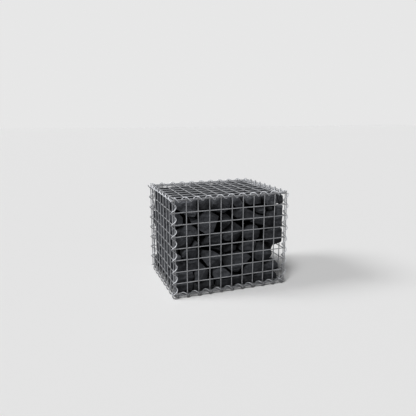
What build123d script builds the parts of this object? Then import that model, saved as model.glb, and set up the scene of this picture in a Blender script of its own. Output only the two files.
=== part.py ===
"""Free-standing gabion wall unit: six welded wire panels laced into a basket by twelve spiral
binders and filled with loose broken stone.

Millimetres, +Z up. X runs along the front, +Y runs from the front to the back. The origin is on
the ground under the middle of the basket.
"""

import os
from math import cos, hypot, pi, radians, sin, sqrt, tan

from build123d import *

# Mesh: square openings, counted along each side of the basket
mesh_pitch = 50.0
front_opening_count = 10
side_opening_count = 8
height_opening_count = 8

# Wires: round in the real basket, drawn here as square bars of the same steel area
mesh_wire = 4.0
binder_wire = 4.0
bearing_gap = 0.3

# Spiral binders: one turn for each mesh opening, drawn in straight strands
strands_per_turn = 8
cut_end_strands = 1

# Angle at which each binder passes a mesh wire, measured about the edge that it closes
front_post_angle = 170.0
side_post_angle = 10.0
lid_front_angle = 105.0
lid_side_angle = -20.0
base_front_angle = 200.0
base_side_angle = 180.0

# Stone fill: courses of angular stones laid in three rows, with leaning joints and broken corners
course_count = 4
row_count = 3
stones_in_row = (5, 4)
stone_gap = 0.5
joint_lean = 9.0
joint_turn = 11.0
joint_shift = 11.0
row_lean = 5.0
row_shift = 9.0
face_lean = 3.0

# How far each broken corner runs along X, Y and Z, taken in turn
corner_legs = (
    (40.0, 26.0, 30.0),
    (24.0, 36.0, 42.0),
    (46.0, 30.0, 20.0),
    (28.0, 24.0, 34.0),
    (34.0, 40.0, 26.0),
)
breaks_in_stone = 2
block_oversize = 2.0

# Long edges of the fill are broken to clear the binders, and the two lowest courses stop short at
# the front right foot
edge_break = 18.0
foot_hollows = (28.0, 46.0)

# Bars and their layers, worked out from the sizes above
mesh_bar = mesh_wire * sqrt(pi) / 2
binder_bar = binder_wire * sqrt(pi) / 2
half_bar = mesh_bar / 2
half_long = front_opening_count * mesh_pitch / 2
half_deep = side_opening_count * mesh_pitch / 2
mesh_height = height_opening_count * mesh_pitch
panel_step = mesh_bar + bearing_gap

# Binder radius: it goes round the widest pair of edge wires, which a lid and a side panel make
bar_corner = binder_bar / sqrt(2)
widest_pair = hypot(panel_step / 2 + half_bar, panel_step / 2 + mesh_bar)
binder_bore = widest_pair + bearing_gap
binder_radius = (binder_bore + bar_corner) / cos(pi / strands_per_turn)

# Draw of the binders on closer pairs of edge wires: up, or outward, until they bear
post_pair = hypot(panel_step / 2 + mesh_bar, half_bar)
front_pair = hypot(mesh_bar, panel_step / 2 + half_bar)
post_draw = binder_bore - bearing_gap - post_pair
front_draw = binder_bore - bearing_gap - front_pair

# Strands in the length of each binder
strands_long = front_opening_count * strands_per_turn
strands_deep = side_opening_count * strands_per_turn
strands_high = height_opening_count * strands_per_turn

os.makedirs("parts", exist_ok=True)


def save(piece, label):
    piece.part.label = label
    export_step(piece.part, f"parts/{label}.step")


def welded_panel(outer_plane, inner_plane, outer_count, outer_length, inner_count, inner_length):
    """Two layers of bars, each centred on its own plane, with the outer ones along local Y."""
    with BuildPart() as panel:
        with BuildSketch(outer_plane):
            with GridLocations(mesh_pitch, mesh_pitch, outer_count, 1):
                Rectangle(mesh_bar, outer_length)
        extrude(amount=half_bar, both=True)
        with BuildSketch(inner_plane):
            with GridLocations(mesh_pitch, mesh_pitch, 1, inner_count):
                Rectangle(inner_length, mesh_bar)
        extrude(amount=half_bar, both=True)
    return panel


def binder(edge, first_strand, last_strand, angle):
    """A right-handed spiral of straight strands about the local Z of its edge plane."""
    points = []
    for index in range(first_strand, last_strand + 1):
        turn = radians(angle) + 2 * pi * index / strands_per_turn
        along = mesh_pitch * index / strands_per_turn
        local = Vector(binder_radius * cos(turn), binder_radius * sin(turn), along)
        points.append(edge.from_local_coords(local))
    axis_point = edge.from_local_coords(Vector(0, 0, mesh_pitch * first_strand / strands_per_turn))
    with BuildPart() as spiral:
        with BuildLine() as route:
            Polyline(*points)
        start = Plane(origin=points[0], x_dir=points[0] - axis_point, z_dir=points[1] - points[0])
        with BuildSketch(start):
            Rectangle(binder_bar, binder_bar)
        sweep(path=route.line, transition=Transition.RIGHT)
    return spiral


def half_turned(edge):
    """The same edge plane after the basket is turned half way round about Z."""
    origin = edge.origin
    return Plane(
        origin=(-origin.X, -origin.Y, origin.Z),
        x_dir=(-edge.x_dir.X, -edge.x_dir.Y, edge.x_dir.Z),
        z_dir=(-edge.z_dir.X, -edge.z_dir.Y, edge.z_dir.Z),
    )


# Height of the mesh above the ground: the base side binders stand lowest, and reach down to it
side_binder_drop = panel_step / 2 + half_bar
level_edge = Plane(origin=(0, 0, 0), x_dir=(0, 0, 1), z_dir=(0, 1, 0))
level_binder = binder(level_edge, 0, strands_deep, base_side_angle)
mesh_base = side_binder_drop - level_binder.part.bounding_box().min.Z
mesh_top = mesh_base + mesh_height

# Panels

long_bar = 2 * half_long + mesh_bar
deep_bar = 2 * half_deep + mesh_bar
tall_bar = mesh_height + mesh_bar
mesh_middle = mesh_base + mesh_height / 2

front_outer = Plane(origin=(0, -half_deep, mesh_middle), x_dir=(1, 0, 0), z_dir=(0, -1, 0))
with_front = (front_opening_count + 1, tall_bar, height_opening_count + 1, long_bar)
front_panel = welded_panel(front_outer, front_outer.offset(-mesh_bar), *with_front)
save(front_panel, "front_panel")
back_outer = half_turned(front_outer)
back_panel = welded_panel(back_outer, back_outer.offset(-mesh_bar), *with_front)
save(back_panel, "back_panel")

side_inner_x = half_long + panel_step
left_outer = Plane(origin=(-side_inner_x - mesh_bar, 0, mesh_middle), x_dir=(0, -1, 0), z_dir=(-1, 0, 0))
with_side = (side_opening_count + 1, tall_bar, height_opening_count + 1, deep_bar)
left_panel = welded_panel(left_outer, left_outer.offset(-mesh_bar), *with_side)
save(left_panel, "left_panel")
right_outer = half_turned(left_outer)
right_panel = welded_panel(right_outer, right_outer.offset(-mesh_bar), *with_side)
save(right_panel, "right_panel")

with_lid = (front_opening_count + 1, deep_bar, side_opening_count + 1, long_bar)
lid_outer = Plane(origin=(0, 0, mesh_top + panel_step + mesh_bar))
lid_panel = welded_panel(lid_outer, lid_outer.offset(-mesh_bar), *with_lid)
save(lid_panel, "lid_panel")
base_outer = Plane(origin=(0, 0, mesh_base - panel_step - mesh_bar))
base_panel = welded_panel(base_outer, base_outer.offset(mesh_bar), *with_lid)
save(base_panel, "base_panel")

# Binders: each edge plane has its local Z along the edge

post_x = half_long + (panel_step + mesh_bar) / 2
post_y = half_deep + post_draw
front_y = half_deep - half_bar
side_x = half_long + panel_step / 2
lid_front_z = mesh_top + panel_step / 2 + front_draw
base_front_z = mesh_base - panel_step / 2 + front_draw
lid_side_z = mesh_top + side_binder_drop
base_side_z = mesh_base - side_binder_drop

front_left_post = Plane(origin=(-post_x, -post_y, mesh_base), x_dir=(1, 0, 0), z_dir=(0, 0, 1))
front_right_post = Plane(origin=(post_x, -post_y, mesh_base), x_dir=(1, 0, 0), z_dir=(0, 0, 1))
lid_front_edge = Plane(origin=(-half_long, -front_y, lid_front_z), x_dir=(0, 1, 0), z_dir=(1, 0, 0))
base_front_edge = Plane(origin=(-half_long, -front_y, base_front_z), x_dir=(0, 1, 0), z_dir=(1, 0, 0))
lid_left_edge = Plane(origin=(-side_x, -half_deep, lid_side_z), x_dir=(0, 0, 1), z_dir=(0, 1, 0))
base_left_edge = Plane(origin=(-side_x, -half_deep, base_side_z), x_dir=(0, 0, 1), z_dir=(0, 1, 0))

binder_edges = [
    ("front_left_binder", "back_right_binder", front_left_post, 0, strands_high, front_post_angle),
    ("front_right_binder", "back_left_binder", front_right_post, 0, strands_high, side_post_angle),
    ("lid_front_binder", "lid_back_binder", lid_front_edge, 0, strands_long, lid_front_angle),
    ("base_front_binder", "base_back_binder", base_front_edge, 0, strands_long, base_front_angle),
    ("lid_left_binder", "lid_right_binder", lid_left_edge, cut_end_strands, strands_deep, lid_side_angle),
    ("base_left_binder", "base_right_binder", base_left_edge, 0, strands_deep, base_side_angle),
]
for label, opposite_label, edge, first_strand, last_strand, angle in binder_edges:
    spiral = binder(edge, first_strand, last_strand, angle)
    save(spiral, label)
    opposite = binder(half_turned(edge), first_strand, last_strand, angle)
    save(opposite, opposite_label)

# Stone fill

fill_long = 2 * (side_inner_x - half_bar - bearing_gap)
fill_deep = 2 * (half_deep - mesh_bar - half_bar - bearing_gap)
fill_base = mesh_base - panel_step + half_bar + bearing_gap
fill_height = mesh_height + 2 * (panel_step - half_bar - bearing_gap)
course_height = fill_height / course_count
row_depth = fill_deep / row_count
face_inset = tan(radians(face_lean)) * course_height / 2


def either_way(number):
    """Plus one for an even number and minus one for an odd one."""
    return 1 if number % 2 == 0 else -1


def side_of(place, last_place):
    """Minus one at the first place, plus one at the last and zero between."""
    if place == 0:
        return -1
    return 1 if place == last_place else 0


def upright_face(origin, toward, turn, lean):
    """A plane that faces toward a level direction, turned about Z and then tipped up by lean."""
    facing = Vector(toward).rotate(Axis.Z, turn) + Vector(0, 0, tan(radians(lean)))
    return Plane(origin=origin, z_dir=facing)


def broken_corner(corner, signs, legs):
    """The plane that breaks off a corner, with its legs measured along the three edges."""
    facing = [sign / leg for sign, leg in zip(signs, legs)]
    return Plane(origin=(corner[0] - signs[0] * legs[0], corner[1], corner[2]), z_dir=facing)


def broken_edge(signs):
    """The plane along a long edge of the fill, where the sign of the edge's own direction is zero."""
    corner = [signs[0] * fill_long / 2, signs[1] * fill_deep / 2, fill_base + fill_height / 2]
    corner[2] += signs[2] * fill_height / 2
    cut_axis = 0 if signs[0] else 1
    corner[cut_axis] -= signs[cut_axis] * edge_break
    return Plane(origin=corner, z_dir=signs)


def row_faces(course, middle_z):
    """The upright planes in front of, between and behind the rows of a course, facing +Y."""
    faces = []
    for place in range(row_count + 1):
        side = side_of(place, row_count)
        lean = face_lean if side else row_lean * either_way(course + place)
        drift = -side * face_inset if side else row_shift * either_way(course)
        y = place * row_depth - fill_deep / 2 + drift
        faces.append(upright_face((0, y, middle_z), (0, 1, 0), 0, lean))
    return faces


def joint_faces(course, row, stone_count, row_length, middle_y, middle_z):
    """The planes across a row, at its ends and between its stones, facing +X."""
    faces = []
    for place in range(stone_count + 1):
        side = side_of(place, stone_count)
        swing = either_way(course + row + place)
        lean = swing * (face_lean if side else joint_lean)
        turn = 0 if side else joint_turn * either_way(course + place // 2)
        drift = -side * face_inset if side else joint_shift * swing
        x = place * row_length / stone_count - fill_long / 2 + drift
        faces.append(upright_face((x, middle_y, middle_z), (1, 0, 0), turn, lean))
    return faces


def edge_breaks(sides):
    """The planes along those long edges of the fill that a stone on these sides reaches."""
    faces = []
    for axis in range(3):
        signs = [0 if other == axis else sides[other] for other in range(3)]
        if signs.count(0) == 1:
            faces.append(broken_edge(signs))
    return faces


def corner_breaks(middle, half, sides, order):
    """The planes that break corners off a stone, on the sides of it that show."""
    faces = []
    for turn in range(breaks_in_stone):
        across = sides[0] if sides[0] and not sides[1] else either_way(order + turn)
        along = sides[1] if sides[1] else either_way(turn)
        upward = either_way(order + turn // 2)
        signs = (across, along, upward)
        corner = [centre + sign * reach for centre, sign, reach in zip(middle, signs, half)]
        faces.append(broken_corner(corner, signs, corner_legs[(order + turn) % len(corner_legs)]))
    return faces


def angular_stone(middle, half, faces):
    """A block, wide and deep enough for its leaning sides, cut back to the planes round it."""
    with BuildPart() as block:
        with Locations(middle):
            Box(2 * block_oversize * half[0], 2 * block_oversize * half[1], 2 * half[2] - stone_gap)
        for face in faces:
            split(bisect_by=face, keep=Keep.BOTTOM)
    return block


def course_stones(course):
    """The stones of one course, row by row from the front."""
    stones = []
    middle_z = fill_base + (course + 0.5) * course_height
    stone_count = stones_in_row[course % len(stones_in_row)]
    rows = row_faces(course, middle_z)
    for row in range(row_count):
        middle_y = (rows[row].origin.Y + rows[row + 1].origin.Y) / 2
        hollow = foot_hollows[course] if row == 0 and course < len(foot_hollows) else 0
        row_length = fill_long - hollow
        joints = joint_faces(course, row, stone_count, row_length, middle_y, middle_z)
        for place in range(stone_count):
            left, right = joints[place].origin.X, joints[place + 1].origin.X
            middle = ((left + right) / 2, middle_y, middle_z)
            half = ((right - left) / 2, row_depth / 2, course_height / 2)
            sides = (
                side_of(place, stone_count - 1),
                side_of(row, row_count - 1),
                side_of(course, course_count - 1),
            )
            beside = [-joints[place], joints[place + 1], -rows[row], rows[row + 1]]
            faces = [face.offset(-stone_gap / 2) for face in beside]
            faces += edge_breaks(sides)
            if sides[0] or sides[1] or sides[2] > 0:
                faces += corner_breaks(middle, half, sides, course + row + place)
            stones.append(angular_stone(middle, half, faces))
    return stones


for course in range(course_count):
    stones = course_stones(course)
    with BuildPart() as stone_course:
        for stone in stones:
            add(stone.part)
    save(stone_course, f"stone_course_{course + 1}")
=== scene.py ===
"""The looks of a gabion wall unit: round welded wires, smooth spiral binders and angular broken stone.

Metres, +Z up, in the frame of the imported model. The camera looks at the front from the left.
"""

import itertools
import random
from math import cos, pi, radians, sin, tau

import bmesh
import bpy
import numpy as np
from mathutils import Matrix, Vector, noise


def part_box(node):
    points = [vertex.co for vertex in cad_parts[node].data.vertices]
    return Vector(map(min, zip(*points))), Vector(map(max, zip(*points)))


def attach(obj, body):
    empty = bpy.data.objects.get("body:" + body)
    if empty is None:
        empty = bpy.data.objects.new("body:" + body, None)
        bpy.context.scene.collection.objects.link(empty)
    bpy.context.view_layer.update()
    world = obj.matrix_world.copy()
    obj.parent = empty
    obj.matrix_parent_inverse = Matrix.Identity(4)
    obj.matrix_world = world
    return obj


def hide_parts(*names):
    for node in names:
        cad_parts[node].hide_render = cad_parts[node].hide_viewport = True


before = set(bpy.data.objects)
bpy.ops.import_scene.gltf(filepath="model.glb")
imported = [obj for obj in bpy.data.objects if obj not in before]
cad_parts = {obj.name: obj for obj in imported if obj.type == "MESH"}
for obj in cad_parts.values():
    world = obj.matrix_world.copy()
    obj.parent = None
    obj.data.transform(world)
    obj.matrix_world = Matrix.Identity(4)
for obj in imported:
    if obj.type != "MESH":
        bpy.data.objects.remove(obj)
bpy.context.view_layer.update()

MM = 0.001
X, Y, Z = 0, 1, 2
RIGHT = np.array((1.0, 0.0, 0.0))
SEED = 41

# Mesh wires
MESH_PITCH = 50 * MM
MESH_WIRE = 4.0 * MM
WIRE_SIDES = 10
WIRE_SMOOTH = 50
END_ROUND = 0.35 * MM
END_BLUNT = 0.8
OFF_EVERY_WIRE = (0.31, 0.53, 0.79)

# The slow wave of a length of straightened wire, with less of it towards the stones
WIRE_WAVE = 0.25 * MM
WAVE_PARTS = 3
WAVE_SIZES = (0.4, 1.0)
WAVE_RATES = (9, 26)
INWARD_WAVE = 0.3

# Welds: each wire swells a little near one, with extra rings there, given in millimetres
WELD_HALF = 2.5 * MM
WELD_THICK = 1.0 * MM
WELD_SWELL = 1.03
WELD_REACH = 5 * MM
NEAR_WELD = (-6.5, -4.5, -2.5, -1.0, 1.0, 2.5, 4.5, 6.5)
BEAD_SIDES = 10
BEAD_RINGS = ((-1.0, 0.35), (-0.45, 0.9), (0.45, 0.9), (1.0, 0.35))
BEAD_UNEVEN = (0.88, 1.08)

# Panels: name, the axis they face along, its sign, and the axis that the outer wires run along
PANELS = (
    ("front_panel", Y, -1, Z),
    ("back_panel", Y, 1, Z),
    ("left_panel", X, -1, Z),
    ("right_panel", X, 1, Z),
    ("lid_panel", Z, 1, Y),
    ("base_panel", Z, -1, Y),
)

# Spiral binders: steps and the bend count in turns, and their wave is quicker than a mesh wire's and
# larger along the edge. The two beside the base are tight enough to lie on the ground
BINDER_WIRE = 4.0 * MM
BINDER_STEPS = 28
BINDER_WOBBLE = 0.25 * MM
WOBBLE_RATE = 3
SLIP = 2
BENT_TURN = 0.3
POST_RADIUS = 10.0 * MM
EDGE_RADIUS = 9.3 * MM
GROUND_RADIUS = sum(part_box("base_left_binder"), Vector()).z / 2 - BINDER_WIRE / 2 - BINDER_WOBBLE
STRAND = MESH_PITCH / 8
WHOLE = (0, 0)
LOOSE_END = (-7 * MM, 0.0, 7 * MM)

# Name, the axis it runs along, its angle at the start in degrees, its radius, the lengths left off
# its two ends, and how far its last part is bent
BINDERS = (
    ("front_left_binder", Z, 170, POST_RADIUS, WHOLE, None),
    ("front_right_binder", Z, 10, POST_RADIUS, WHOLE, None),
    ("back_left_binder", Z, 190, POST_RADIUS, WHOLE, LOOSE_END),
    ("back_right_binder", Z, 350, POST_RADIUS, WHOLE, None),
    ("lid_front_binder", X, 105, EDGE_RADIUS, WHOLE, None),
    ("lid_back_binder", X, 75, EDGE_RADIUS, WHOLE, None),
    ("base_front_binder", X, 200, EDGE_RADIUS, WHOLE, None),
    ("base_back_binder", X, 340, EDGE_RADIUS, WHOLE, None),
    ("lid_left_binder", Y, -20, EDGE_RADIUS, (STRAND, 0), None),
    ("lid_right_binder", Y, 20, EDGE_RADIUS, (0, STRAND), None),
    ("base_left_binder", Y, 180, GROUND_RADIUS, WHOLE, None),
    ("base_right_binder", Y, 180, GROUND_RADIUS, WHOLE, None),
)

# Looks: a scale counts waves to the metre, a span is the part of a noise or a slope that is spread
# out, and a relief is its strength and its depth
LESS_RED = 0.5
MORE_BLUE = 1.2
NOISE_SPAN = (0.3, 0.7)

# Zinc, with the levels of its greys as shares of the wire's own level
SPANGLE_SCALE = 330.0
SPANGLE_STEP = 0.4
OXIDE_SCALE = 38.0
OXIDE_SPAN = (0.38, 0.66)
WELD_SCALE = 120.0
WELD_STRENGTH = (0.35, 0.9)
WEAR_SCALE = 90.0
GRIT_SCALE = 700.0
ZINC_RELIEF = (0.25, 0.4 * MM)
ZINC_METALLIC = 0.5
ZINC_ROUGHNESS = (0.36, 0.62)
BRIGHT_ZINC = (0.86, 1.12)
DULL_ZINC = (0.6, 0.76)
BRIGHT_BLUE = 0.04
DULL_BLUE = 0.05
WELD_COLOUR = (0.295, 0.29, 0.285, 1.0)
# Painted shade: the zinc is darkened towards the ground, where the shade under the basket falls
GROUND_SHADE_LEVEL = 0.03
GROUND_SHADE = 0.65
GROUND_SHADE_HEIGHT = (8 * MM, 34 * MM)
MESH_ZINC = 0.43
SPIRAL_ZINC = 0.64

# Stone, with greys that are a level and a trace of blue
MOTTLE_SCALE = 45.0
MOTTLE_SPAN = (0.32, 0.68)
CRYSTAL_SCALE = 520.0
CRYSTAL_SPAN = (0.42, 0.75)
CRYSTAL_STRENGTH = 0.3
CHIP_SCALE = 70.0
CHIP_SPAN = (0.42, 0.68)
CHIP_STRENGTH = 0.6
# Partly dust and partly painted light: faces that look up are painted paler, as light from above would make
# them
DUST_AND_TOP_LIGHT_SCALE = 48.0
DUST_AND_TOP_LIGHT_SPAN = (0.3, 0.62)
DUST_AND_TOP_LIGHT_STRENGTH = 0.15
UPWARD_SPAN = (0.25, 0.9)
FLAT_SPAN = (0.8, 0.95)
COARSE_SCALE = 85.0
COARSE_RELIEF = (1.0, 9 * MM)
FINE_SCALE = 420.0
FINE_RELIEF = (0.5, 1.2 * MM)
STONE_ROUGHNESS = (0.74, 0.92)
STONE_SHINE = 0.12
DARK_STONE = (0.009, 0.11)
PALE_STONE = (0.165, 0.09)
CRYSTAL = (0.13, 0.07)
BRUISE = (0.13, 0.07)
DUST_AND_TOP_LIGHT = (0.12, 0.07)
DEEP_SHADE = 0.004
TONE_SHARE = 0.55
MOTTLE_SHARE = 0.45
# Painted shade: stones turn darker deep inside the fill, towards the base, and on flat tops just below the
# lid
INNER_SHADE = 0.82
BASE_SHADE = 0.7
BASE_SHADE_HEIGHT = (18 * MM, 80 * MM)
LID_SHADE = 0.4
LID_SHADE_HEIGHT = (380 * MM, 400 * MM)
DARK_DEPTH = (15 * MM, 38 * MM)
TONE = (0.34, 0.24)
# Painted light: a stone whose face looks up is painted paler by this share of its lift
LIFT_PAINTED_LIGHT = 0.75

# A stone's surface: its lumps have a size and how many of them come to a metre
LARGE_LUMP = 1.8 * MM
LUMPS = ((LARGE_LUMP, 24), (1.2 * MM, 62), (0.5 * MM, 170))
SUNK = 0.55
NOISE_REACH = 50
SHOWN_EDGE = 8.0 * MM
HIDDEN_EDGE = 30.0 * MM
SHOWN_REACH = 1.3
MOST_CUTS = 5
ARRIS = 1.1 * MM
ARRIS_WEAR = (0.6, 1.5)
STONE_SMOOTH = 19

# A stone's flat faces. STAND_OFF, JOINT_HALF, BEVEL_INSET and TOP_BEVEL are drawn in millimetres, and
# EDGE_BREAKS has one length for the fill's edges along each axis
MESH_CLEARANCE = 0.4 * MM
LEAN = 0.05
STAND_OFF = (0.0, 7.0)
EDGE_BREAKS = (10.5 * MM, 12 * MM, 7 * MM)
JOINT_HALF = (0.5, 2.5)
JOINT_LEAN = 0.11
FAR_APART = 0.19
PAIR_STEP = 1009
MOST_PLANES = 30
LEAST_TURN = 1e-3
INSIDE_BY = 1e-7
CORNER_MERGE = 2.5 * MM
FEWEST_CORNERS = 5
FLAT_ANGLE = 6

# The faces of a stone that leans on the front mesh
FACE_LEAN = 0.08
FACE_BULGE = 3 * MM
SIDE_LEAN = (-0.15, 0.25)
BEVEL_CHANCE = 0.6
BEVEL_TIP = (0.6, 1.4)
BEVEL_INSET = (2.0, 11.0)
TOP_BEVEL = (16.0, 28.0)
TOP_BEVEL_TURN = 0.25
TOP_BEVEL_WAY = (-0.6, 0.8)
FACE_BREAKS = (1, 3)
FACE_TURN = 0.8
UPWARD_CHANCE = 0.68
FACE_TIP = (0.30, 0.75)
FACE_START = (0.1, 0.55)
FRONT_DEPTH = (1.0, 1.25)
FRONT_HALF_DEPTH = (34 * MM, 46 * MM)
OUTLINE_DEPTH = 9 * MM
OUTLINE_GROWTH = 1.2 * MM
OVERRUN = 6 * MM

# The stones behind them, in columns and rows with a few levels each
CORE_FRONT = -0.118
CORE_COLUMNS = 7
CORE_ROWS = 4
CORE_LEVELS = (5, 6)
CORE_JITTER = 0.2
CORE_FILLING = 1.16
CORE_SIZES = (0.9, 1.12)
CORE_BREAKS = (10, 13)
WAY_SPREAD = 0.16
BREAK_REACH = (0.92, 1.08)
BLOCKY = 0.35
NEAR_MESH = 1.35
PRESSED = 0.94

# The hollow at the front right foot, where no stone has its middle: its lowest and highest corner
FOOT_HOLLOW = ((0.212, -0.200, 0.000), (0.260, -0.030, 0.190))

# Stones that lean on the front mesh: how far each stands back, in millimetres, how much its face
# looks up, and its outline as the camera sees it, in mesh openings across and down from the top left
FRONT_STONES = [
    (3, 0.25, [(0.19, 0.10), (1.95, 0.08), (1.98, 0.98), (1.76, 1.36), (1.17, 1.36), (0.60, 0.98),
         (0.22, 0.66)]),
    (26, 0.50, [(2.08, 0.05), (3.08, 0.05), (3.08, 0.95), (2.90, 1.05), (2.10, 0.95)]),
    (4, 0.35, [(3.33, 0.10), (4.92, 0.08), (5.00, 0.66), (4.62, 1.20), (4.14, 1.41), (3.60, 1.30),
         (3.33, 0.87)]),
    (9, 0.10, [(5.10, 0.12), (5.60, 0.08), (6.08, 0.60), (6.13, 0.98), (5.43, 0.97), (5.10, 0.66)]),
    (2, 0.90, [(6.22, 0.10), (7.97, 0.08), (7.97, 0.80), (7.60, 0.92), (6.78, 0.90), (6.42, 0.66)]),
    (5, 0.35, [(8.13, 0.12), (9.25, 0.08), (9.30, 0.82), (8.90, 1.02), (8.30, 0.97)]),
    (7, 0.10, [(9.36, 0.08), (9.98, 0.10), (9.98, 1.00), (9.36, 0.98)]),
    (5, 0.30, [(0.05, 1.15), (0.52, 1.14), (0.73, 1.41), (0.70, 1.90), (0.40, 2.06), (0.05, 2.00)]),
    (9, 0.20, [(1.24, 1.50), (1.50, 1.46), (1.96, 1.66), (1.96, 1.98), (1.48, 2.02)]),
    (2, 0.30, [(2.05, 1.95), (2.20, 1.50), (2.65, 1.17), (3.15, 1.22), (4.03, 1.66), (4.06, 2.45),
         (3.40, 2.90), (2.60, 2.90), (2.12, 2.60)]),
    (8, 0.05, [(4.11, 1.52), (4.46, 1.38), (4.93, 1.85), (4.91, 2.17), (4.30, 2.76), (4.11, 2.78)]),
    (7, 0.00, [(5.08, 1.20), (6.10, 1.07), (7.03, 1.10), (7.10, 1.50), (6.88, 2.10), (6.20, 2.15),
         (5.60, 2.00), (5.12, 1.60)]),
    (12, -0.10, [(7.15, 1.12), (8.00, 1.08), (8.02, 1.70), (7.25, 1.50)]),
    (7, -0.05, [(7.12, 1.68), (8.05, 1.86), (8.02, 2.68), (7.35, 2.55), (6.62, 2.30), (6.78, 2.12)]),
    (4, 0.00, [(8.16, 1.90), (8.46, 1.55), (8.98, 1.43), (9.02, 3.04), (8.24, 3.06), (8.14, 2.30)]),
    (4, 0.00, [(9.03, 1.98), (9.97, 1.98), (9.97, 3.06), (9.03, 3.06)]),
    (5, 0.00, [(9.04, 1.00), (9.97, 1.00), (9.97, 2.02), (9.03, 2.02)]),
    (18, -0.10, [(8.16, 1.08), (8.98, 1.05), (8.96, 1.38), (8.42, 1.50)]),
    (3, 0.40, [(0.19, 2.84), (0.63, 2.33), (1.00, 2.10), (1.60, 2.12), (1.95, 2.49), (1.98, 3.00),
         (1.22, 3.07), (0.34, 3.10)]),
    (12, -0.10, [(0.10, 3.20), (0.84, 3.12), (1.54, 3.15), (1.62, 3.36), (1.38, 3.79), (1.10, 3.97),
         (0.12, 3.97)]),
    (8, 0.20, [(1.46, 3.98), (1.80, 3.48), (2.00, 3.70), (2.04, 4.02), (1.60, 4.06)]),
    (9, 0.00, [(2.72, 3.24), (3.06, 3.10), (3.87, 3.10), (4.02, 3.52), (3.94, 3.98), (3.06, 4.02),
         (2.30, 3.92)]),
    (1, 0.35, [(4.24, 3.41), (4.36, 2.92), (4.90, 2.20), (5.32, 2.25), (5.97, 2.80), (6.02, 3.41),
         (5.81, 3.79), (5.43, 3.93), (4.78, 3.78), (4.30, 3.66)]),
    (2, 0.25, [(6.14, 3.09), (6.57, 2.66), (7.16, 2.54), (7.48, 2.80), (7.78, 3.19), (7.80, 3.63),
         (7.59, 3.95), (7.05, 4.00), (6.35, 3.84), (6.12, 3.52)]),
    (3, 0.10, [(8.17, 3.26), (9.30, 3.08), (9.92, 3.10), (9.95, 4.02), (9.75, 4.38), (9.16, 4.68),
         (8.85, 4.60), (8.20, 4.22), (8.12, 3.84)]),
    (6, 0.10, [(0.05, 4.62), (0.35, 4.48), (0.56, 4.80), (0.50, 5.06), (0.05, 5.06)]),
    (8, 0.00, [(0.66, 4.49), (0.90, 4.14), (1.92, 4.12), (2.02, 4.49), (1.92, 4.97), (0.95, 5.03),
         (0.64, 4.81)]),
    (22, -0.10, [(0.12, 5.16), (0.90, 5.10), (0.98, 5.90), (0.20, 6.02)]),
    (12, -0.05, [(1.06, 5.12), (1.90, 5.12), (2.02, 5.45), (1.72, 5.98), (1.10, 6.00)]),
    (2, 0.30, [(2.28, 4.81), (2.50, 4.36), (2.89, 4.24), (3.38, 4.56), (3.99, 4.69), (4.15, 5.08),
         (4.14, 5.57), (3.92, 6.02), (3.11, 6.05), (2.79, 5.70), (2.41, 5.20)]),
    (18, 0.10, [(3.06, 4.12), (3.98, 4.10), (4.02, 4.52), (3.62, 4.60), (3.12, 4.36)]),
    (24, -0.05, [(4.16, 4.10), (5.00, 4.08), (5.45, 4.30), (5.35, 4.78), (4.60, 4.86), (4.18, 4.80)]),
    (3, 0.30, [(5.81, 4.76), (5.95, 4.33), (6.24, 4.10), (7.32, 4.09), (7.38, 4.49), (7.16, 5.10),
         (6.35, 4.94)]),
    (2, 0.25, [(4.24, 5.25), (4.50, 4.84), (5.78, 4.80), (6.97, 5.18), (6.92, 5.45), (6.22, 6.12),
         (5.52, 6.76), (5.30, 6.70), (4.45, 6.10), (4.28, 5.70)]),
    (3, 0.25, [(7.30, 4.85), (7.46, 4.44), (8.02, 4.30), (8.50, 4.55), (8.99, 4.95), (9.02, 5.57),
         (8.80, 6.00), (8.19, 6.04), (7.27, 5.76), (7.20, 5.35)]),
    (3, 0.20, [(0.10, 6.33), (0.40, 6.10), (1.49, 6.08), (1.62, 6.49), (1.50, 6.98), (0.12, 7.00)]),
    (5, 0.25, [(1.68, 6.12), (2.10, 5.52), (2.41, 5.50), (2.97, 6.27), (2.86, 6.87), (2.62, 7.02),
         (1.72, 7.00)]),
    (6, 0.15, [(3.30, 6.18), (4.19, 6.12), (4.46, 6.27), (4.95, 6.76), (4.98, 7.04), (3.46, 7.06),
         (3.30, 6.65)]),
    (4, 0.25, [(6.06, 6.81), (6.24, 6.33), (7.05, 6.06), (7.92, 6.17), (8.02, 6.81), (7.92, 7.02),
         (6.12, 7.04)]),
    (11, -0.10, [(8.18, 6.43), (8.78, 6.20), (9.48, 6.33), (9.58, 6.87), (9.20, 7.02), (8.22, 7.02)]),
    (4, 0.20, [(0.08, 7.12), (1.00, 7.08), (1.52, 7.15), (1.46, 7.60), (1.36, 8.00), (0.08, 8.00)]),
    (9, 0.10, [(1.62, 7.22), (3.40, 7.12), (3.50, 8.00), (1.46, 8.00)]),
    (5, 0.05, [(3.60, 7.14), (4.96, 7.10), (5.04, 7.60), (5.00, 8.00), (3.62, 8.00)]),
    (8, 0.05, [(5.10, 6.95), (6.00, 7.02), (6.06, 8.00), (5.12, 8.00)]),
    (6, 0.05, [(6.14, 7.12), (7.02, 7.10), (7.06, 8.00), (6.16, 8.00)]),
    (7, 0.05, [(7.12, 7.12), (8.02, 7.12), (8.08, 8.00), (7.14, 8.00)]),
    (7, 0.05, [(8.14, 7.12), (9.15, 7.12), (9.50, 7.45), (9.46, 8.00), (8.16, 8.00)]),
]

# Floor and light: a lamp has the way it shines, its strength and how wide it spreads, in degrees
FLOOR_REACH = 30.0
FLOOR_ROUGHNESS = 0.9
FLOOR_SHINE = 0.2
FLOOR_SHOWN = 0.86
FLOOR_BOUNCE = 0.16
SKY_LEVEL = 0.06
SKY_SHOWN = 1.0
KEY_LAMP = ((0.95, -0.25, -0.70), 1.55, 20)
FILL_LAMP = ((0.34, 0.42, -0.9), 2.05, 18)

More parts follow.
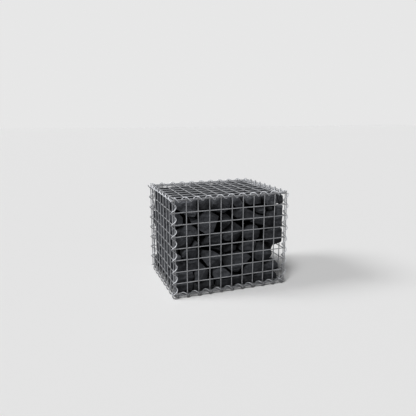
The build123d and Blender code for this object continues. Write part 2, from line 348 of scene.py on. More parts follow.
# Camera, matched to the reference view
CAMERA_PLACE = (-0.66616, -1.73340, 0.73763)
CAMERA_YAW = 20.0088
CAMERA_PITCH = 12.4188
CAMERA_ROLL = -0.118
CAMERA_LENS = 35.48
SENSOR_WIDTH = 36.0


def add_object(name, mesh, material):
    """A new object at the origin, so that its mesh says where it is."""
    piece = bpy.data.objects.new(name, mesh)
    bpy.context.scene.collection.objects.link(piece)
    mesh.materials.append(material)
    return piece


def dress(piece, slot, *nodes):
    """Parents a finished piece to the root body and hides the CAD parts of these nodes, in whose place it
    stands.
    """
    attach(piece, "root")
    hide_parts(*nodes)


def smooth(mesh, sharpest):
    """Smooth shading, apart from edges sharper than this many degrees."""
    mesh.polygons.foreach_set("use_smooth", np.ones(len(mesh.polygons), bool))
    mesh.set_sharp_from_angle(angle=radians(sharpest))


def unit(way):
    """The same direction with a length of one."""
    return way / np.linalg.norm(way)


def from_zero_to_one(value):
    return min(1.0, max(0.0, value))


# Camera

def make_camera():
    """The camera of the reference view, turned by its yaw, pitch and roll."""
    yaw, pitch, roll = radians(CAMERA_YAW), radians(CAMERA_PITCH), radians(CAMERA_ROLL)
    ahead = Vector((sin(yaw) * cos(pitch), cos(yaw) * cos(pitch), -sin(pitch)))
    right = Vector((cos(yaw), -sin(yaw), 0))
    up = right.cross(ahead)
    camera_x = cos(roll) * right + sin(roll) * up
    camera_y = cos(roll) * up - sin(roll) * right
    turn = Matrix((camera_x, camera_y, -ahead)).transposed().to_4x4()
    data = bpy.data.cameras.new("camera")
    data.sensor_width = SENSOR_WIDTH
    data.lens = CAMERA_LENS
    camera = bpy.data.objects.new("camera", data)
    camera.matrix_world = Matrix.Translation(CAMERA_PLACE) @ turn
    bpy.context.scene.collection.objects.link(camera)
    bpy.context.scene.camera = camera


# Materials

class Shader:
    """A short way to write a material's node tree."""

    def __init__(self, name):
        self.material = bpy.data.materials.new(name)
        self.material.use_nodes = True
        self.tree = self.material.node_tree
        self.tree.nodes.clear()
        self.output = self.tree.nodes.new("ShaderNodeOutputMaterial")

    def node(self, kind, settings=None, **inputs):
        made = self.tree.nodes.new(kind)
        for key, value in (settings or {}).items():
            setattr(made, key, value)
        for key, value in inputs.items():
            socket = made.inputs[key.replace("_", " ")]
            self.feed(socket, value)
        return made

    def feed(self, socket, value):
        if isinstance(value, bpy.types.NodeSocket):
            self.tree.links.new(value, socket)
        else:
            socket.default_value = value

    def math(self, operation, first, second=0.0):
        made = self.tree.nodes.new("ShaderNodeMath")
        made.operation = operation
        self.feed(made.inputs[0], first)
        self.feed(made.inputs[1], second)
        return made.outputs[0]

    def remap(self, value, low, high, to_low=0.0, to_high=1.0):
        made = self.node("ShaderNodeMapRange", Value=value)
        for key, number in (("From Min", low), ("From Max", high), ("To Min", to_low), ("To Max", to_high)):
            made.inputs[key].default_value = number
        return made.outputs["Result"]

    def blend(self, factor, first, second):
        made = self.tree.nodes.new("ShaderNodeMix")
        made.data_type = "RGBA"
        self.feed(made.inputs[0], factor)
        self.feed(made.inputs[6], first)
        self.feed(made.inputs[7], second)
        return made.outputs[2]

    def place(self):
        return self.tree.nodes.new("ShaderNodeTexCoord").outputs["Object"]

    def height(self):
        return self.node("ShaderNodeSeparateXYZ", Vector=self.place()).outputs["Z"]

    def noise(self, scale, detail=3.0, roughness=0.5):
        made = self.node("ShaderNodeTexNoise", Vector=self.place(), Scale=scale, Detail=detail)
        made.inputs["Roughness"].default_value = roughness
        return made.outputs["Fac"]

    def attribute(self, name):
        return self.node("ShaderNodeAttribute", {"attribute_name": name}).outputs["Fac"]

    def bump(self, height, strength, distance, below=None):
        made = self.node("ShaderNodeBump", Height=height, Strength=strength, Distance=distance)
        if below is not None:
            self.feed(made.inputs["Normal"], below)
        return made.outputs["Normal"]

    def surface(self, **inputs):
        made = self.node("ShaderNodeBsdfPrincipled", **inputs)
        self.tree.links.new(made.outputs["BSDF"], self.output.inputs["Surface"])
        return self.material


def grey(level, blue=0.0):
    """A linear grey with a trace of blue."""
    return (level * (1 - LESS_RED * blue), level, level * (1 + MORE_BLUE * blue), 1.0)


def galvanised_wire(name, level):
    """Hot-dipped zinc: fine spangle, dull oxide clouds, a duller spot at each weld, and painted shade near
    the ground.
    """
    shader = Shader(name)
    spangle = shader.node("ShaderNodeTexVoronoi", Vector=shader.place(), Scale=SPANGLE_SCALE)
    grain = shader.node("ShaderNodeSeparateColor", Color=spangle.outputs["Color"]).outputs["Red"]
    oxide = shader.remap(shader.noise(OXIDE_SCALE, detail=5.0, roughness=0.6), *OXIDE_SPAN)
    bright = shader.blend(grain, *[grey(share * level, BRIGHT_BLUE) for share in BRIGHT_ZINC])
    dull = shader.blend(grain, *[grey(share * level, DULL_BLUE) for share in DULL_ZINC])
    zinc = shader.blend(oxide, bright, dull)
    patchy = shader.remap(shader.noise(WELD_SCALE), *NOISE_SPAN, *WELD_STRENGTH)
    welded = shader.math("MULTIPLY", shader.attribute("weld"), patchy)
    cleaner = shader.blend(welded, zinc, WELD_COLOUR)
    # Painted shade: the wire turns darker towards the ground
    painted_ground_shade = shader.remap(shader.height(), *GROUND_SHADE_HEIGHT, to_low=GROUND_SHADE, to_high=0.0)
    colour = shader.blend(painted_ground_shade, cleaner, grey(GROUND_SHADE_LEVEL))
    roughness = shader.remap(shader.noise(WEAR_SCALE, detail=4.0), *NOISE_SPAN, *ZINC_ROUGHNESS)
    grit = shader.noise(GRIT_SCALE, detail=2.0)
    height = shader.math("ADD", grit, shader.math("MULTIPLY", grain, SPANGLE_STEP))
    relief = shader.bump(height, *ZINC_RELIEF)
    return shader.surface(Base_Color=colour, Metallic=ZINC_METALLIC, Roughness=roughness, Normal=relief)


def broken_stone():
    """Dark basalt: grey mottling and fine crystals, paler bruised edges, dust with painted light on what
    faces up, painted light on stones whose face looks up, and painted shade near the base, deep inside the
    fill and on flat tops under the lid.
    """
    shader = Shader("broken_stone")
    mottle = shader.remap(shader.noise(MOTTLE_SCALE, detail=7.0, roughness=0.75), *MOTTLE_SPAN)
    # The tone holds random differences between stones and painted light on stones whose face looks up
    tone_with_painted_light = shader.math("MULTIPLY", shader.attribute("tone"), TONE_SHARE)
    mixed = shader.math("ADD", tone_with_painted_light, shader.math("MULTIPLY", mottle, MOTTLE_SHARE))
    stone = shader.blend(mixed, grey(*DARK_STONE), grey(*PALE_STONE))
    grain = shader.noise(CRYSTAL_SCALE, detail=2.0, roughness=0.7)
    crystals = shader.remap(grain, *CRYSTAL_SPAN, to_high=CRYSTAL_STRENGTH)
    speckled = shader.blend(crystals, stone, grey(*CRYSTAL))
    chipped = shader.remap(shader.noise(CHIP_SCALE), *CHIP_SPAN, to_high=CHIP_STRENGTH)
    bruised = shader.math("MULTIPLY", shader.attribute("arris"), chipped)
    edged = shader.blend(bruised, speckled, grey(*BRUISE))
    # Partly dust and partly painted light: faces that look up are painted paler
    normal = shader.node("ShaderNodeNewGeometry").outputs["Normal"]
    facing_up = shader.node("ShaderNodeSeparateXYZ", Vector=normal).outputs["Z"]
    dust_and_light_drifts = shader.noise(DUST_AND_TOP_LIGHT_SCALE, detail=5.0, roughness=0.6)
    dust_and_light_patches = shader.remap(dust_and_light_drifts, *DUST_AND_TOP_LIGHT_SPAN, to_high=DUST_AND_TOP_LIGHT_STRENGTH)
    dust_and_painted_top_light = shader.math("MULTIPLY", shader.remap(facing_up, *UPWARD_SPAN), dust_and_light_patches)
    dusted_and_top_lit = shader.blend(dust_and_painted_top_light, edged, grey(*DUST_AND_TOP_LIGHT))
    # Painted shade: darker towards the base, deeper inside the fill, and on flat tops just below the lid
    painted_base_shade = shader.remap(shader.height(), *BASE_SHADE_HEIGHT, to_low=BASE_SHADE, to_high=0.0)
    inner = shader.math("MULTIPLY", shader.attribute("inner"), INNER_SHADE)
    below_lid = shader.remap(shader.height(), *LID_SHADE_HEIGHT, to_high=LID_SHADE)
    flat_top = shader.math("MULTIPLY", below_lid, shader.remap(facing_up, *FLAT_SPAN))
    shade = shader.math("MAXIMUM", shader.math("MAXIMUM", painted_base_shade, inner), flat_top)
    colour = shader.blend(shade, dusted_and_top_lit, grey(DEEP_SHADE))
    roughness = shader.remap(grain, *NOISE_SPAN, *STONE_ROUGHNESS)
    ridges = shader.noise(COARSE_SCALE, detail=6.0, roughness=0.7)
    coarse = shader.bump(ridges, *COARSE_RELIEF)
    pits = shader.noise(FINE_SCALE, detail=4.0, roughness=0.7)
    fine = shader.bump(pits, *FINE_RELIEF, below=coarse)
    return shader.surface(
        Base_Color=colour, Roughness=roughness, Specular_IOR_Level=STONE_SHINE, Normal=fine)


# Wires

class Wires:
    """Collects swept wires and weld beads for one mesh."""

    def __init__(self):
        self.points = []
        self.faces = []
        self.welds = []

    def sweep(self, line, radii, welds):
        """A round wire along a line of points, with slightly rounded sheared ends."""
        line = np.asarray(line, float)
        ahead = np.gradient(line, axis=0)
        ahead /= np.linalg.norm(ahead, axis=1)[:, None]
        side = np.cross(ahead[0], OFF_EVERY_WIRE)
        rings = []
        for place, way, radius in zip(line, ahead, radii):
            side = side - way * np.dot(side, way)
            side /= np.linalg.norm(side)
            rings.append((place, side.copy(), np.cross(way, side), radius))
        first, last = rings[0], rings[-1]
        rings.insert(0, (first[0] - ahead[0] * END_ROUND, *first[1:3], first[3] * END_BLUNT))
        rings.append((last[0] + ahead[-1] * END_ROUND, *last[1:3], last[3] * END_BLUNT))
        start = len(self.points)
        for (place, side, over, radius), weld in zip(rings, [welds[0], *welds, welds[-1]]):
            for step in range(WIRE_SIDES):
                turn = tau * step / WIRE_SIDES
                self.points.append(place + radius * (cos(turn) * side + sin(turn) * over))
                self.welds.append(weld)
        self.skin(start, len(rings), WIRE_SIDES)

    def bead(self, middle, normal, chance):
        """The squeezed metal between two wires at a weld: a low lens across the normal axis."""
        start = len(self.points)
        across, along = [axis for axis in range(3) if axis != normal]
        for height, width in BEAD_RINGS:
            for step in range(BEAD_SIDES):
                turn = tau * step / BEAD_SIDES
                reach = WELD_HALF * width * chance.uniform(*BEAD_UNEVEN)
                point = np.array(middle, float)
                point[across] += reach * cos(turn)
                point[along] += reach * sin(turn)
                point[normal] += WELD_THICK * height
                self.points.append(point)
                self.welds.append(1.0)
        self.skin(start, len(BEAD_RINGS), BEAD_SIDES)

    def skin(self, start, rings, sides):
        """The faces between rings of points, and one across each end."""
        for ring in range(rings - 1):
            base = start + ring * sides
            for step in range(sides):
                after = (step + 1) % sides
                self.faces.append((base + step, base + after, base + sides + after, base + sides + step))
        final = start + (rings - 1) * sides
        self.faces.append(tuple(start + step for step in reversed(range(sides))))
        self.faces.append(tuple(final + step for step in range(sides)))

    def build(self, name, material):
        """The finished object, with each point's nearness to a weld kept for the material."""
        mesh = bpy.data.meshes.new(name)
        mesh.from_pydata([tuple(point) for point in self.points], [], self.faces)
        near_weld = mesh.attributes.new("weld", "FLOAT", "POINT")
        near_weld.data.foreach_set("value", np.array(self.welds, np.float32))
        smooth(mesh, WIRE_SMOOTH)
        editing = bmesh.new()
        editing.from_mesh(mesh)
        bmesh.ops.recalc_face_normals(editing, faces=editing.faces)
        editing.to_mesh(mesh)
        editing.free()
        return add_object(name, mesh, material)


def lattice(low, high, bar):
    """The places of evenly spaced wires between two faces of a panel."""
    first = low + bar / 2
    count = round((high - low - bar) / MESH_PITCH)
    return [first + MESH_PITCH * index for index in range(count + 1)]


def wave(chance):
    """A slow sideways wave, as a length of straightened wire has."""
    parts = [
        (chance.uniform(*WAVE_SIZES), chance.uniform(*WAVE_RATES), chance.uniform(0, tau))
        for _ in range(WAVE_PARTS)]
    scale = WIRE_WAVE / sum(part[0] for part in parts)
    return lambda along: scale * sum(size * sin(rate * along + phase) for size, rate, phase in parts)


def ring_places(start, end, crossings):
    """Where a mesh wire needs a ring of points: at its ends and round each weld."""
    places = {start, end}
    for crossing in crossings:
        for offset in NEAR_WELD:
            place = crossing + offset * MM
            if start < place < end:
                places.add(place)
    return sorted(places)


def welded_panel(name, normal, outward, outer_run, material, chance):
    """One flat panel: the outer wires lie along outer_run, and the inner ones cross behind them."""
    low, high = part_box(name)
    bar = (high[normal] - low[normal]) / 2
    face = high[normal] if outward > 0 else low[normal]
    inner_run = 3 - normal - outer_run
    outer_middle = face - outward * bar / 2
    inner_middle = face - outward * bar * 1.5
    panel = Wires()
    for run, spread, level in ((outer_run, inner_run, outer_middle), (inner_run, outer_run, inner_middle)):
        crossings = lattice(low[run], high[run], bar)
        stations = ring_places(low[run] + END_ROUND, high[run] - END_ROUND, crossings)
        for place in lattice(low[spread], high[spread], bar):
            sideways, inwards = wave(chance), wave(chance)
            line, radii, welds = [], [], []
            for along in stations:
                point = np.zeros(3)
                point[run] = along
                point[spread] = place + sideways(along)
                point[normal] = level + inwards(along) * INWARD_WAVE
                gap = min(abs(along - crossing) for crossing in crossings)
                close = max(0.0, 1 - gap / WELD_REACH)
                line.append(point)
                radii.append(MESH_WIRE / 2 * (1 + (WELD_SWELL - 1) * close))
                welds.append(close)
            panel.sweep(line, radii, welds)
    for first in lattice(low[outer_run], high[outer_run], bar):
        for second in lattice(low[inner_run], high[inner_run], bar):
            middle = [0.0, 0.0, 0.0]
            middle[normal] = face - outward * bar
            middle[outer_run] = first
            middle[inner_run] = second
            panel.bead(middle, normal, chance)
    piece = panel.build(name + "_wires", material)
    dress(piece, "galvanised_wire", name)


def edge_middle(run):
    """The middle of the basket's edges along one axis."""
    low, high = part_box("front_panel" if run != Y else "left_panel")
    return (low[run] + high[run]) / 2


def spiral_binder(name, run, angle, radius, trims, bend, material, chance):
    """A right-handed spiral about an edge, one turn to each mesh opening."""
    low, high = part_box(name)
    first_way, second_way = [(Y, Z), (Z, X), (X, Y)][run]
    middle = (low + high) / 2
    half_span = MESH_PITCH * round((high[run] - low[run]) / MESH_PITCH) / 2
    edge_start = edge_middle(run) - half_span
    length = 2 * half_span
    swelling, slipping = wave(chance), wave(chance)
    line = []
    steps = round(length / MESH_PITCH * BINDER_STEPS)
    for step in range(steps + 1):
        along = length * step / steps
        if not trims[0] <= along <= length - trims[1]:
            continue
        turn = radians(angle) + tau * along / MESH_PITCH
        reach = radius + BINDER_WOBBLE / WIRE_WAVE * swelling(along * WOBBLE_RATE)
        point = np.zeros(3)
        point[run] = edge_start + along + SLIP * slipping(along)
        point[first_way] = middle[first_way] + reach * cos(turn)
        point[second_way] = middle[second_way] + reach * sin(turn)
        line.append(point)
    if bend is not None:
        count = int(len(line) * BENT_TURN // (length / MESH_PITCH))
        for step, point in enumerate(line[-count:]):
            point += np.array(bend) * ((step + 1) / count) ** 2
    coil = Wires()
    coil.sweep(line, [BINDER_WIRE / 2] * len(line), [0.0] * len(line))
    piece = coil.build(name + "_spiral", material)
    dress(piece, "galvanised_wire", name)


# Stones

def fill_space():
    """The room inside the mesh: each side is just off the inner face of that panel's inner wires."""
    off_middle = MESH_WIRE / 2 + MESH_CLEARANCE
    limits = []
    for axis, low_panel, high_panel in ((X, "left", "right"), (Y, "front", "back"), (Z, "base", "lid")):
        low_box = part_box(low_panel + "_panel")
        high_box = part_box(high_panel + "_panel")
        bar = (low_box[1][axis] - low_box[0][axis]) / 2
        limits.append((low_box[1][axis] - bar / 2 + off_middle, high_box[0][axis] + bar / 2 - off_middle))
    low, high = zip(*limits)
    return np.array(low), np.array(high)


def in_foot_hollow(place):
    low, high = FOOT_HOLLOW
    return all(low[axis] <= place[axis] <= high[axis] for axis in range(3))


def pressed_to_mesh(middle, half, low, high):
    """The middle of a stone, moved outward to the mesh where it lies near a panel."""
    middle = middle.copy()
    for axis in range(3):
        if high[axis] - middle[axis] < half[axis] * NEAR_MESH:
            middle[axis] = max(middle[axis], high[axis] - half[axis] * PRESSED)
        if middle[axis] - low[axis] < half[axis] * NEAR_MESH:
            middle[axis] = min(middle[axis], low[axis] + half[axis] * PRESSED)
    return middle


class Stone:
    """The nominal form of a stone: an ellipsoid, or for a front stone an outline with a depth."""

    def __init__(self, middle, half, outline=None, lift=0.0):
        self.middle = middle
        self.half = half
        self.outline = outline
        self.lift = lift

    def reach(self, way):
        """How far the stone reaches from its middle in a direction."""
        if self.outline is None:
            return float(np.linalg.norm(self.half * way))
        return float(np.max(self.outline @ way[[X, Z]])) + abs(way[Y]) * self.half[Y]


def seen_at(place, depth):
    """The point behind a place on the front mesh that the camera sees there."""
    sight = place - np.array(CAMERA_PLACE)
    return place + sight * depth / sight[Y]


def front_stones(low, high, chance):
    """The stones that lean on the front mesh, from their outlines."""
    grid_low, grid_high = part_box("front_panel")
    stones = []
    for back, lift, outline in FRONT_STONES:
        depth = back * MM + OUTLINE_DEPTH
        corners = []
        for across, down in outline:
            place = np.array((grid_low.x + across * MESH_PITCH, grid_low.y, grid_high.z - down * MESH_PITCH))
            place = seen_at(place, low[Y] - grid_low.y + depth)
            for axis in (X, Z):
                if place[axis] - low[axis] < OVERRUN:
                    place[axis] = low[axis] - OVERRUN
                if high[axis] - place[axis] < OVERRUN:
                    place[axis] = high[axis] + OVERRUN
            corners.append(place)
        corners = np.array(corners)
        middle = corners.mean(axis=0)
        half = (corners.max(axis=0) - corners.min(axis=0)) / 2
        half[Y] = np.clip((half[X] + half[Z]) / 2 * chance.uniform(*FRONT_DEPTH), *FRONT_HALF_DEPTH)
        middle[Y] = low[Y] + back * MM + half[Y]
        stones.append(Stone(middle, half, corners[:, [X, Z]] - middle[[X, Z]], lift))
    return stones


def core_stones(low, high, chance):
    """A loose stack of stones behind the front ones."""
    stones = []
    corner = np.array((low[X], CORE_FRONT, low[Z]))
    step_x = (high[X] - low[X]) / CORE_COLUMNS
    step_y = (high[Y] - CORE_FRONT) / CORE_ROWS
    for column in range(CORE_COLUMNS):
        for row in range(CORE_ROWS):
            levels = chance.choice(CORE_LEVELS)
            step = np.array((step_x, step_y, (high[Z] - low[Z]) / levels))
            for level in range(levels):
                cell = corner + step * (column + 0.5, row + 0.5, level + 0.5)
                jitter = np.array([chance.uniform(-CORE_JITTER, CORE_JITTER) for _ in range(3)])
                middle = cell + jitter * step
                half = step / 2 * CORE_FILLING * np.array([chance.uniform(*CORE_SIZES) for _ in range(3)])
                middle = pressed_to_mesh(middle, half, low, high)
                if not in_foot_hollow(middle):
                    stones.append(Stone(middle, half))
    return stones


def spread_ways(count, chance):
    """Directions spread evenly round a sphere, each turned a little at random."""
    golden = pi * (3 - 5 ** 0.5)
    spin = chance.uniform(0, tau)
    ways = []
    for index in range(count):
        height = 1 - 2 * (index + 0.5) / count
        ring = (1 - height * height) ** 0.5
        turn = golden * index + spin
        way = np.array((ring * cos(turn), ring * sin(turn), height))
        way += np.array([chance.gauss(0, WAY_SPREAD) for _ in range(3)])
        ways.append(unit(way))
    return ways


def edge_normals(corners):
    """The outward direction of each edge of an outline."""
    normals = []
    for first, second in zip(corners, np.roll(corners, -1, axis=0)):
        run = second - first
        outward = np.array((-run[1], 0.0, run[0])) / np.linalg.norm(run)
        if np.dot(outward[[X, Z]], first) < 0:
            outward = -outward
        normals.append(outward)
    return normals


def parting_way(stone, neighbour, offset):
    """The direction in which two outlines stand furthest apart."""
    ways = edge_normals(stone.outline) + [-way for way in edge_normals(neighbour.outline)]
    return max(ways, key=lambda way: np.dot(offset, way) - stone.reach(way) - neighbour.reach(-way))


def worn_face(stone, face, face_reach, low, high, chance):
    """A break across the front face, mostly looking up, and inward at the basket's two ends."""
    turn = (pi / 2 if chance.random() < UPWARD_CHANCE else -pi / 2) + chance.gauss(0, FACE_TURN)
    aside = np.array((cos(turn), 0.0, sin(turn)))
    if stone.middle[X] + stone.reach(RIGHT) > high[X]:
        aside[X] = -abs(aside[X])
    if stone.middle[X] - stone.reach(-RIGHT) < low[X]:
        aside[X] = abs(aside[X])
    start = aside * stone.reach(aside) * chance.uniform(*FACE_START)
    start[Y] = (face_reach - np.dot(face, start)) / face[Y]
    way = unit(aside * chance.uniform(*FACE_TIP) + np.array((0.0, -1.0, 0.0)))
    return way, float(np.dot(way, start))


def outline_planes(stone, low, high, chance):
    """The faces of a front stone: round its outline, across its face, and worn edges between them."""
    corners = stone.outline
    face = unit(np.array((chance.gauss(0, FACE_LEAN), -1.0, stone.lift + chance.gauss(0, FACE_LEAN))))
    foremost = float(np.min(corners @ face[[X, Z]]))
    face_reach = foremost - face[Y] * stone.half[Y] + FACE_BULGE
    planes = [(face, face_reach), (np.array((0.0, 1.0, 0.0)), stone.half[Y])]
    nearest = OUTLINE_DEPTH - stone.half[Y]
    for first, second, outward in zip(corners, np.roll(corners, -1, axis=0), edge_normals(corners)):
        edge = (first + second) / 2
        side = unit(outward + np.array((0, chance.uniform(*SIDE_LEAN), 0)))
        planes.append((side, float(np.dot(side[[X, Z]], edge)) + side[Y] * nearest + OUTLINE_GROWTH))
        if chance.random() < BEVEL_CHANCE:
            worn = unit(outward + np.array((0, -chance.uniform(*BEVEL_TIP), 0)))
            inset = chance.uniform(*BEVEL_INSET) * MM
            planes.append((worn, float(np.dot(worn[[X, Z]], edge)) - worn[Y] * stone.half[Y] - inset))
    for _ in range(chance.randint(*FACE_BREAKS)):
        planes.append(worn_face(stone, face, face_reach, low, high, chance))
    return planes


def break_planes(stone, chance):
    """The faces of a stone further in: breaks all round it."""
    planes = []
    for way in spread_ways(chance.randint(*CORE_BREAKS), chance):
        blocky = BLOCKY * float(np.dot(stone.half, np.abs(way))) + (1 - BLOCKY) * stone.reach(way)
        planes.append((way, blocky * chance.uniform(*BREAK_REACH)))
    return planes


def top_bevel(stone, low, high, chance):
    """The worn upper edge of a front stone that lies under the lid."""
    way = unit(np.array((chance.gauss(0, TOP_BEVEL_TURN), *TOP_BEVEL_WAY)))
    room = np.array((0, stone.middle[Y] - low[Y], high[Z] - stone.middle[Z]))
    return way, float(np.dot(np.abs(way), room)) - chance.uniform(*TOP_BEVEL) * MM


def wall_planes(stone, low, high, chance):
    """The mesh on all six sides, and a face that leans a little inside each; on the base it lies flat."""
    planes = []
    for axis in range(3):
        for sign in (-1, 1):
            wall = np.zeros(3)
            wall[axis] = sign
            room = (high[axis] - stone.middle[axis]) if sign > 0 else (stone.middle[axis] - low[axis])
            planes.append((wall, room))
            leaning = unit(wall + np.array([chance.gauss(0, LEAN) for _ in range(3)]))
            on_base = axis == Z and sign < 0
            planes.append((leaning, room - (0 if on_base else chance.uniform(*STAND_OFF) * MM)))
    return planes


def edge_planes(stone, low, high):
    """The twelve long edges of the fill, broken so that the spirals have room."""
    planes = []
    for first, second in ((X, Y), (Y, Z), (Z, X)):
        for signs in itertools.product((-1, 1), repeat=2):
            way = np.zeros(3)
            way[[first, second]] = signs
            corner = np.where(way > 0, high, low) - stone.middle
            way = unit(way)
            planes.append((way, float(np.dot(way, corner)) - EDGE_BREAKS[3 - first - second]))
    return planes


def joint_planes(index, stones):
    """The joints of one stone with its neighbours. Both stones of a pair draw the same numbers."""
    stone = stones[index]
    planes = []
    for other, neighbour in enumerate(stones):
        offset = neighbour.middle - stone.middle
        distance = float(np.linalg.norm(offset))
        if other == index or distance > FAR_APART:
            continue
        pair = random.Random(min(index, other) * PAIR_STEP + max(index, other))
        sign = 1 if other > index else -1
        if stone.outline is not None and neighbour.outline is not None:
            way = parting_way(stone, neighbour, offset)
        else:
            lean = sign * np.array([pair.gauss(0, JOINT_LEAN) for _ in range(3)])
            way = unit(offset / distance + lean)
        near = stone.reach(way)
        far = neighbour.reach(-way)
        reach = float(np.dot(offset, way)) * near / (near + far)
        planes.append((way, reach - pair.uniform(*JOINT_HALF) * MM))
    return planes


def stone_planes(index, stones, low, high, chance):
    """The flat faces of one stone: its own breaks, the mesh, and the joints with its neighbours."""
    stone = stones[index]
    if stone.outline is None:
        planes = break_planes(stone, chance)
    else:
        planes = outline_planes(stone, low, high, chance)
        if stone.middle[Z] + stone.half[Z] * NEAR_MESH > high[Z]:
            planes.append(top_bevel(stone, low, high, chance))
    planes += wall_planes(stone, low, high, chance)
    planes += edge_planes(stone, low, high)
    planes += joint_planes(index, stones)
    return planes


def corners_of(planes):
    """The corners of the solid inside all the planes, from the planes nearest to its middle."""
    ways = np.array([way for way, _ in planes])
    reaches = np.array([reach for _, reach in planes])
    order = np.argsort(reaches)[:MOST_PLANES]
    triples = np.array(list(itertools.combinations(order, 3)))
    systems = ways[triples]
    solvable = np.abs(np.linalg.det(systems)) > LEAST_TURN
    points = np.linalg.solve(systems[solvable], reaches[triples[solvable]][:, :, None])[:, :, 0]
    inside = np.all(points @ ways.T <= reaches + INSIDE_BY, axis=1)
    return points[inside]


def hull_of(corners):
    """The solid between these corners, with nearly flat edges taken out, or None if it has no room."""
    stone = bmesh.new()
    for corner in corners:
        stone.verts.new(corner)
    bmesh.ops.remove_doubles(stone, verts=stone.verts, dist=CORNER_MERGE)
    if len(stone.verts) < FEWEST_CORNERS:
        stone.free()
        return None
    hull = bmesh.ops.convex_hull(stone, input=stone.verts, use_existing_faces=False)
    loose = [item for item in hull["geom_interior"] if isinstance(item, bmesh.types.BMVert)]
    bmesh.ops.delete(stone, geom=loose, context="VERTS")
    bmesh.ops.dissolve_limit(stone, angle_limit=radians(FLAT_ANGLE), verts=stone.verts, edges=stone.edges)
    return stone


def cut_finer(stone, edge_limit, arris):
    """Halves the edges that are longer than the limit. Only the first points stay marked as arrises."""
    for _ in range(MOST_CUTS):
        long_edges = [edge for edge in stone.edges if edge.calc_length() > edge_limit]
        if not long_edges:
            break
        known = set(stone.verts)
        bmesh.ops.subdivide_edges(stone, edges=long_edges, cuts=1, use_grid_fill=False)
        for vert in stone.verts:
            if vert not in known:
                vert[arris] = 0.0
        bmesh.ops.triangulate(stone, faces=[face for face in stone.faces if len(face.verts) > 3])


def rough_stone(middle, planes, edge_limit, chance):
    """A stone's mesh: the solid's faces, worn arrises, then lumps and grain by moving its points."""
    stone = hull_of(corners_of(planes))
    if stone is None:
        return None
    bmesh.ops.bevel(
        stone, geom=stone.edges[:], offset=ARRIS * chance.uniform(*ARRIS_WEAR), offset_type="OFFSET",
        segments=1, profile=0.5, affect="EDGES", clamp_overlap=True)
    arris = stone.verts.layers.float.new("arris")
    bmesh.ops.triangulate(stone, faces=stone.faces)
    for vert in stone.verts:
        vert[arris] = 1.0
    cut_finer(stone, edge_limit, arris)
    stone.normal_update()
    seed = Vector([chance.uniform(-NOISE_REACH, NOISE_REACH) for _ in range(3)])
    for vert in stone.verts:
        place = vert.co + seed
        lump = sum(size * noise.noise(place * scale) for size, scale in LUMPS)
        vert.co += vert.normal * (lump - SUNK * LARGE_LUMP)
        vert.co += Vector(middle)
    return stone


def depth_inside(place, low, high):
    """How far a point lies behind the nearest side or below the lid. No light comes in at the base."""
    return min(*[high[axis] - place[axis] for axis in range(3)], place[X] - low[X], place[Y] - low[Y])


def stone_fill(material, chance):
    """All the stones, joined course by course so that each course stands for its node."""
    low, high = fill_space()
    stones = front_stones(low, high, chance) + core_stones(low, high, chance)
    courses = sorted(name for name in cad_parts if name.startswith("stone_course"))
    tops = [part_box(name)[1].z for name in courses]
    groups = {name: bmesh.new() for name in courses}
    for group in groups.values():
        for layer in ("arris", "tone", "inner"):
            group.verts.layers.float.new(layer)
    for index, form in enumerate(stones):
        middle, reach = form.middle, form.half * SHOWN_REACH
        planes = stone_planes(index, stones, low, high, chance)
        shown = bool(np.any(middle - reach < low) or np.any(middle + reach > high))
        stone = rough_stone(middle, planes, SHOWN_EDGE if shown else HIDDEN_EDGE, chance)
        if stone is None:
            continue
        # Painted light: a stone whose face looks up gets a paler tone
        tone = from_zero_to_one(chance.gauss(*TONE) + LIFT_PAINTED_LIGHT * form.lift)
        tones = stone.verts.layers.float.new("tone")
        inners = stone.verts.layers.float.new("inner")
        for vert in stone.verts:
            vert[tones] = tone
            behind = depth_inside(vert.co, low, high) - DARK_DEPTH[0]
            vert[inners] = from_zero_to_one(behind / (DARK_DEPTH[1] - DARK_DEPTH[0]))
        name = courses[min(sum(middle[Z] > top for top in tops), len(courses) - 1)]
        part = bpy.data.meshes.new("stone")
        stone.to_mesh(part)
        groups[name].from_mesh(part)
        stone.free()
        bpy.data.meshes.remove(part)
    for name, group in groups.items():
        mesh = bpy.data.meshes.new(name)
        group.to_mesh(mesh)
        group.free()
        smooth(mesh, STONE_SMOOTH)
        piece = add_object(name.replace("stone_course", "stones"), mesh, material)
        dress(piece, "broken_stone", name)


# Floor and light

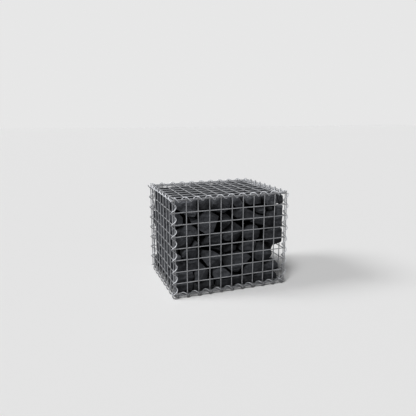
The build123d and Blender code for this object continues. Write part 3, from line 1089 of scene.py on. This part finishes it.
def make_floor():
    """A pale floor, which gives back less light than it shows, so that hollows stay dark."""
    shader = Shader("pale_floor")
    path = shader.node("ShaderNodeLightPath")
    seen = shader.math("MAXIMUM", path.outputs["Is Camera Ray"], path.outputs["Is Glossy Ray"])
    colour = shader.blend(seen, grey(FLOOR_BOUNCE), grey(FLOOR_SHOWN))
    material = shader.surface(
        Base_Color=colour, Roughness=FLOOR_ROUGHNESS, Specular_IOR_Level=FLOOR_SHINE)
    mesh = bpy.data.meshes.new("floor")
    corners = [(-FLOOR_REACH, -FLOOR_REACH, 0), (FLOOR_REACH, -FLOOR_REACH, 0),
               (FLOOR_REACH, FLOOR_REACH, 0), (-FLOOR_REACH, FLOOR_REACH, 0)]
    mesh.from_pydata(corners, [], [(0, 1, 2, 3)])
    add_object("floor", mesh, material)


def make_sun(name, way, strength, spread):
    """A broad soft lamp that lights the floor evenly."""
    data = bpy.data.lights.new(name, "SUN")
    data.energy = strength
    data.angle = radians(spread)
    lamp = bpy.data.objects.new(name, data)
    lamp.rotation_euler = Vector(way).to_track_quat("-Z", "Y").to_euler()
    bpy.context.scene.collection.objects.link(lamp)


def make_world():
    """A weak even sky, which the camera and the shine of the wires see as white."""
    world = bpy.data.worlds.new("studio")
    bpy.context.scene.world = world
    world.use_nodes = True
    tree = world.node_tree
    tree.nodes.clear()
    output = tree.nodes.new("ShaderNodeOutputWorld")
    plain = tree.nodes.new("ShaderNodeBackground")
    plain.inputs["Strength"].default_value = SKY_LEVEL
    white = tree.nodes.new("ShaderNodeBackground")
    white.inputs["Strength"].default_value = SKY_SHOWN
    path = tree.nodes.new("ShaderNodeLightPath")
    seen = tree.nodes.new("ShaderNodeMath")
    seen.operation = "MAXIMUM"
    tree.links.new(path.outputs["Is Camera Ray"], seen.inputs[0])
    tree.links.new(path.outputs["Is Glossy Ray"], seen.inputs[1])
    mix = tree.nodes.new("ShaderNodeMixShader")
    tree.links.new(seen.outputs[0], mix.inputs[0])
    tree.links.new(plain.outputs[0], mix.inputs[1])
    tree.links.new(white.outputs[0], mix.inputs[2])
    tree.links.new(mix.outputs[0], output.inputs["Surface"])


make_camera()
chance = random.Random(SEED)
mesh_look = galvanised_wire("mesh_zinc", MESH_ZINC)
spiral_look = galvanised_wire("spiral_zinc", SPIRAL_ZINC)
stone_look = broken_stone()
for panel in PANELS:
    welded_panel(*panel, mesh_look, chance)
for binder in BINDERS:
    spiral_binder(*binder, spiral_look, chance)
stone_fill(stone_look, chance)
make_floor()
make_world()
make_sun("key_lamp", *KEY_LAMP)
make_sun("fill_lamp", *FILL_LAMP)
bpy.context.scene.view_settings.view_transform = "Standard"
